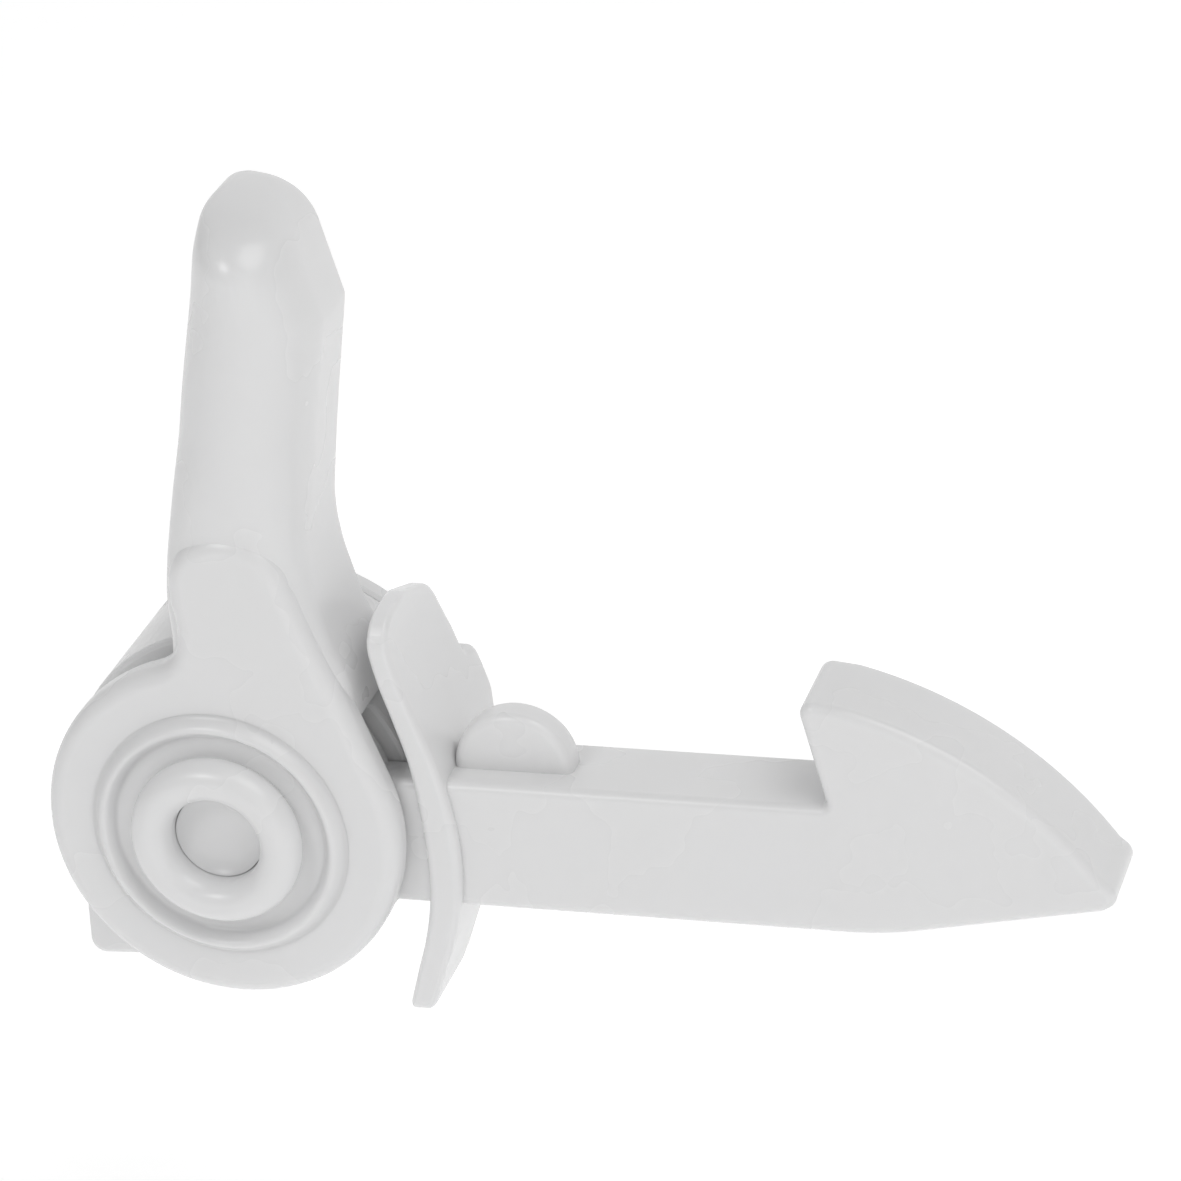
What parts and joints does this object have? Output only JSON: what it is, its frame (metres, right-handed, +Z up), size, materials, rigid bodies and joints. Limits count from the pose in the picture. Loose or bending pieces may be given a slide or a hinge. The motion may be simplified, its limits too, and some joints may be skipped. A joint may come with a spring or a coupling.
{
  "type": "stair gate latch",
  "caption": "White moulded safety gate latch: a drum housing carries an upright handle lever, and a long hooked latch arm with a curved thumb paddle on one hub axis.",
  "frame": {"origin": "hub axis at the flat back of the drum housing, where the latch bears on the gate's upright", "axes": "+X along the latch arm towards the hook, +Z up the lever, +Y out of the mounting face, away from the user; the latch's front faces -Y"},
  "size_m": [0.117, 0.0318, 0.0925],
  "materials": {
    "white_plastic": "smooth glossy moulded white",
    "spring_steel": "bright zinc-plated",
    "brass_insert": "plain turned",
    "acetal": "natural low-friction moulding"
  },
  "bodies": {
    "housing": {"drum_housing": "white_plastic", "back_plate": "white_plastic", "housing_screw_1": "spring_steel", "housing_screw_2": "spring_steel", "housing_screw_3": "spring_steel", "mount_insert_left": "brass_insert", "mount_insert_right": "brass_insert", "pivot_bush": "acetal", "arm_spring": "spring_steel"},
    "lever": {"lever_shell": "white_plastic", "lever_back": "white_plastic", "lever_screw_1": "spring_steel", "lever_screw_2": "spring_steel", "hub_bezel": "white_plastic", "pivot_clip": "spring_steel", "spring_seat": "acetal"},
    "arm": {"latch_arm": "white_plastic"},
    "button": {"safety_button": "white_plastic", "button_spring": "spring_steel", "lock_key": "spring_steel"}
  },
  "joints": [
    {"name": "lever_swing", "type": "hinge", "parent": "housing", "child": "lever", "pos_m": [0, 0, 0], "axis": [0, 1, 0], "range_deg": [0, 20], "stiffness_Nm_per_rad": 0.15, "springref_deg": -17.19},
    {"name": "arm_pivot", "type": "hinge", "parent": "housing", "child": "arm", "pos_m": [0, 0, 0], "axis": [0, 1, 0], "range_deg": [0, 15], "stiffness_Nm_per_rad": 0.15, "springref_deg": -17.19},
    {"name": "button_press", "type": "slide", "parent": "lever", "child": "button", "axis": [0, 1, 0], "range_m": [0, 0.002], "stiffness_N_per_m": 500, "springref_m": -0.001, "deforming": ["button_spring"]}
  ],
  "couplings": [
    {"joint": "arm_pivot", "follows": "lever_swing", "ratio": 0.7}
  ]
}
